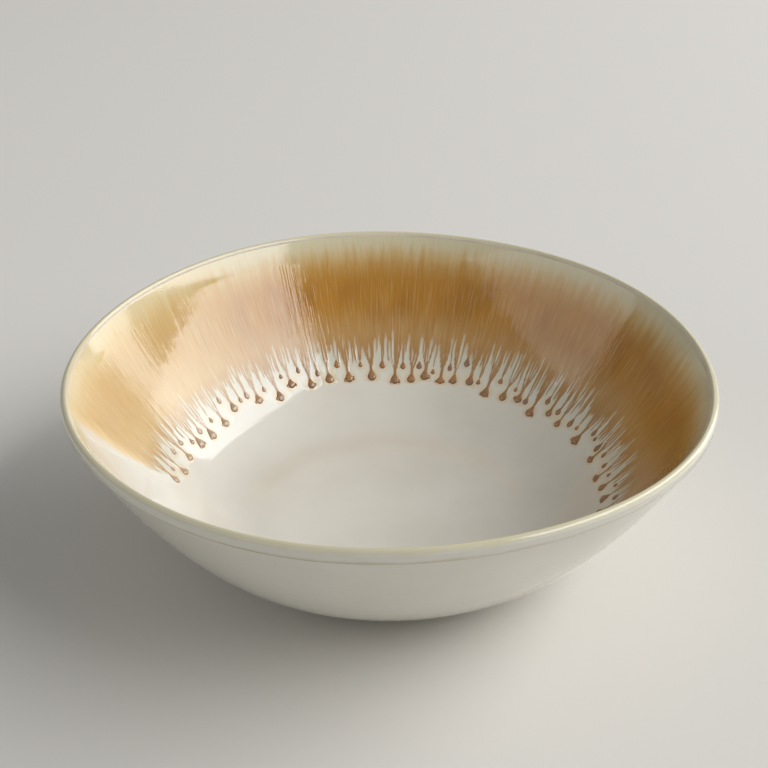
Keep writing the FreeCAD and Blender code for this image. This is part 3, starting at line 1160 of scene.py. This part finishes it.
    def patch(self, name: str, columns: int, rows: int, top: float, bottom: float,
              finish: type[Finish]) -> None:
        """Coat over part of the wall, closed underneath, whose edges sink into the liner.

        Args:
            name: Name of the piece.
            columns: Steps round the wall.
            rows: Steps down the wall.
            top: Distance of the upper edge from the lip, in metres.
            bottom: Distance of the lower edge, in metres.
            finish: Its finish, named after the CAD node that it stands for.
        """
        clear_selection()
        bpy.ops.mesh.primitive_grid_add(x_subdivisions=columns, y_subdivisions=rows, size=2.0)
        piece = start_piece(name)
        flat = coordinates(piece)
        angle = self.left_edge + (self.right_edge - self.left_edge) * (flat[:, 0] + 1.0) / 2.0
        down = bottom + (top - bottom) * (flat[:, 1] + 1.0) / 2.0
        masks = self.masks(angle, down, columns + 1)
        relief = masks.pop("relief")
        level = self.coat - self.tuck * (1.0 - smooth(top, top + self.overlap, down))
        if finish is AmberBand:
            level = level - self.tuck * smooth(bottom - self.overlap, bottom, down)
        lift = -self.slit_depth + (level + self.slit_depth) * relief
        strands = (masks["cover"] - 1.0) * smooth(50 * MM, 60 * MM, down) * relief
        lift += self.slit_depth * strands
        move_vertices(piece, self.shape.on_liner(down, np.radians(angle), lift))
        for mask, values in masks.items():
            add_mask(piece, mask, values)
        rows_of_map = flow_rows(angle, down)
        add_flow_map(piece, lambda _points: rows_of_map)
        solid = piece.modifiers.new("thickness", "SOLIDIFY")
        solid.thickness = self.thickness
        solid.offset = -1.0
        solid.use_rim = True
        bpy.ops.object.modifier_apply(modifier=solid.name)
        bpy.ops.object.shade_smooth()
        dress(piece, finish(self.effects).material, finish.name)

    def press_drop(self, name: str, angle: float, tip: float, wide: float, tall: float,
                   crown: float, pull: float) -> bpy.types.Object:
        """Press one ball of glaze onto the wall.

        Args:
            name: Name of the drop.
            angle: Its direction, in degrees.
            tip: Distance of its lowest point down the wall, in metres.
            wide: Half its width.
            tall: Half its height.
            crown: How far it stands proud of the coat.
            pull: How much its upper half is drawn into a neck.

        Returns:
            The drop.
        """
        clear_selection()
        bpy.ops.mesh.primitive_uv_sphere_add(segments=20, ring_count=12, radius=1.0)
        drop = start_piece(name)
        across, along, out = coordinates(drop).T
        neck = np.clip(-along, 0.0, 1.0)
        side = across * wide * (1.0 - 0.55 * pull * neck ** 1.2)
        depth = tip - tall + along * tall * (1.0 + 0.8 * pull * neck)
        lift = self.coat * 0.7 + np.where(out > 0, out * crown, out * self.thickness)
        lift = lift - 0.5 * crown * neck * pull
        row = self.shape.wall(self.shape.share_at(depth), Layer.LINER, lift)
        turned = math.radians(angle) + side / row[:, 0]
        move_vertices(drop, self.shape.place(row[:, 0], row[:, 1], turned))
        flank = smooth(0.62, 0.95, np.hypot(across, along))
        add_mask(drop, "rim", flank * (0.3 + 0.7 * smooth(-0.45, 0.35, along)))
        add_mask(drop, "neck", smooth(0.35, 0.95, neck) * pull)
        return drop

    def make_beads(self, rng: np.random.Generator) -> None:
        """Brown drops that end the strands, many with a curl of glaze at each side."""
        drops = []
        for k, drip in enumerate(self.drips):
            wide = 0.5 * drip.width
            tall = wide * rng.uniform(0.95, 1.3) if drip.big else wide * rng.uniform(1.0, 1.5)
            crown = (0.75 if drip.big else 0.45) * MM * rng.uniform(0.8, 1.2)
            drops.append(self.press_drop(f"bead_{k}", drip.angle, drip.tip, wide, tall, crown, 1.0))
            if not drip.big or rng.random() < 0.4:
                continue
            for hand in (-1.0, 1.0):
                if rng.random() < 0.25:
                    continue
                reach = math.degrees((wide + rng.uniform(-0.3, 0.2) * MM) / self.around)
                drops.append(self.press_drop(
                    f"curl_{k}_{int(hand)}", drip.angle + hand * reach,
                    drip.tip - rng.uniform(0.2, 1.2) * MM, rng.uniform(0.5, 0.8) * MM,
                    rng.uniform(0.7, 1.1) * MM, 0.35 * MM, 0.2))
        clear_selection()
        for drop in drops:
            drop.select_set(True)
        bpy.context.view_layer.objects.active = drops[0]
        bpy.ops.object.join()
        piece = start_piece("glaze_bead_drops")
        finish_mesh(piece, weld=False)
        dress(piece, BrownBead(self.effects).material, "glaze_beads")

    def build(self) -> None:
        """Make the band, the fringe of strands and the beads."""
        rng = np.random.default_rng(self.seed)
        self.drips = self.read_drips(rng)
        self.strands = self.draw_strands(rng)
        LOG.info("%d drips, %d strands", len(self.drips), len(self.strands))
        self.patch("amber_glaze_band", 480, 56, self.band_top, self.band_bottom, AmberBand)
        self.patch("glaze_run_fringe", 850, 56, self.fringe_top, self.fringe_bottom, RunFringe)
        self.make_beads(rng)


# ------------------------------------------------------------------------------------------
# Studio
# ------------------------------------------------------------------------------------------
@dataclass(frozen=True)
class SoftLight:
    """One upright soft panel beside the bowl, facing it.

    Args:
        name: Name of the lamp.
        azimuth: Compass direction that its plane faces, in degrees clockwise from +Y.
        distance: Distance of its plane, in metres.
        sides: Its two ends along the plane, to the left and right of that direction.
        heights: Its lower and upper edge.
        glow: Its brightness, where 1 shows as white.
    """

    name: str
    azimuth: float
    distance: float
    sides: tuple[float, float]
    heights: tuple[float, float]
    glow: float

    def build(self) -> None:
        """Stand the panel in its place."""
        clear_selection()
        turn = math.radians(self.azimuth)
        outwards = Vector((math.sin(turn), math.cos(turn), 0.0))
        across = Vector((math.cos(turn), -math.sin(turn), 0.0))
        place = (outwards * self.distance + across * (sum(self.sides) / 2)
                 + Vector((0.0, 0.0, sum(self.heights) / 2)))
        bpy.ops.object.light_add(type="AREA", location=place)
        lamp = bpy.context.object
        lamp.name = self.name
        lamp.rotation_euler = (-outwards).to_track_quat("-Z", "Y").to_euler()
        width, height = self.sides[1] - self.sides[0], self.heights[1] - self.heights[0]
        lamp.data.shape = "RECTANGLE"
        lamp.data.size = width
        lamp.data.size_y = height
        lamp.data.energy = self.glow * math.pi * width * height
        lamp.visible_camera = False


@dataclass
class Studio:
    """Pale floor, soft lamps, even surroundings and the camera."""

    camera_place: tuple[float, float, float] = (-2.3 * MM, -597.4 * MM, 413.9 * MM)
    camera_pitch: float = 29.27
    camera_roll: float = -0.23
    lens: float = 71.5
    floor_size: float = 14.0
    floor_colour: tuple = linear(224, 221, 215)
    surroundings: tuple = linear(228, 229, 230)
    surroundings_strength: float = 0.26
    lights: tuple[SoftLight, ...] = (
        SoftLight("window_right", 112.0, 2.0, (-5.0, 0.82), (1.0, 3.4), 4.5),
        SoftLight("window_low", 112.0, 2.0, (-5.0, -2.1), (0.03, 1.0), 3.0),
        SoftLight("window_left", -115.0, 2.0, (-1.8, 1.8), (0.72, 1.62), 0.95),
    )

    def make_floor(self) -> None:
        """Lay the plain pale floor."""
        clear_selection()
        bpy.ops.mesh.primitive_plane_add(size=self.floor_size)
        floor = start_piece("studio_floor")
        material = bpy.data.materials.new("studio_floor")
        material.use_nodes = True
        shader = material.node_tree.nodes["Principled BSDF"]
        shader.inputs["Base Color"].default_value = self.floor_colour
        shader.inputs["Roughness"].default_value = 0.75
        shader.inputs["Specular IOR Level"].default_value = 0.2
        floor.data.materials.append(material)

    def make_world(self) -> None:
        """Light the surroundings evenly."""
        world = bpy.data.worlds.new("studio_world")
        world.use_nodes = True
        back = world.node_tree.nodes["Background"]
        back.inputs["Color"].default_value = self.surroundings
        back.inputs["Strength"].default_value = self.surroundings_strength
        bpy.context.scene.world = world

    def make_camera(self) -> None:
        """Set the camera up in front of the bowl, looking down at it."""
        clear_selection()
        bpy.ops.object.camera_add(location=self.camera_place)
        camera = bpy.context.object
        tilt = Euler((math.radians(90.0 - self.camera_pitch), 0.0, 0.0)).to_matrix()
        roll = Euler((0.0, 0.0, math.radians(self.camera_roll))).to_matrix()
        camera.rotation_euler = (tilt @ roll).to_euler()
        camera.data.lens = self.lens
        camera.data.sensor_width = 36.0
        camera.data.clip_start = 0.01
        bpy.context.scene.camera = camera

    def build(self) -> None:
        """Set up the whole studio."""
        self.make_floor()
        self.make_world()
        for light in self.lights:
            light.build()
        self.make_camera()
        bpy.context.scene.view_settings.view_transform = "Standard"


def main() -> None:
    """Build the bowl and its studio in order."""
    logging.basicConfig(level=logging.INFO, format="%(message)s")
    shape = BowlShape()
    effects = SharedEffects()
    GlazedWall(shape, effects).build()
    PouredGlaze(shape, effects).build()
    Studio().build()


if __name__ == "__main__":
    main()
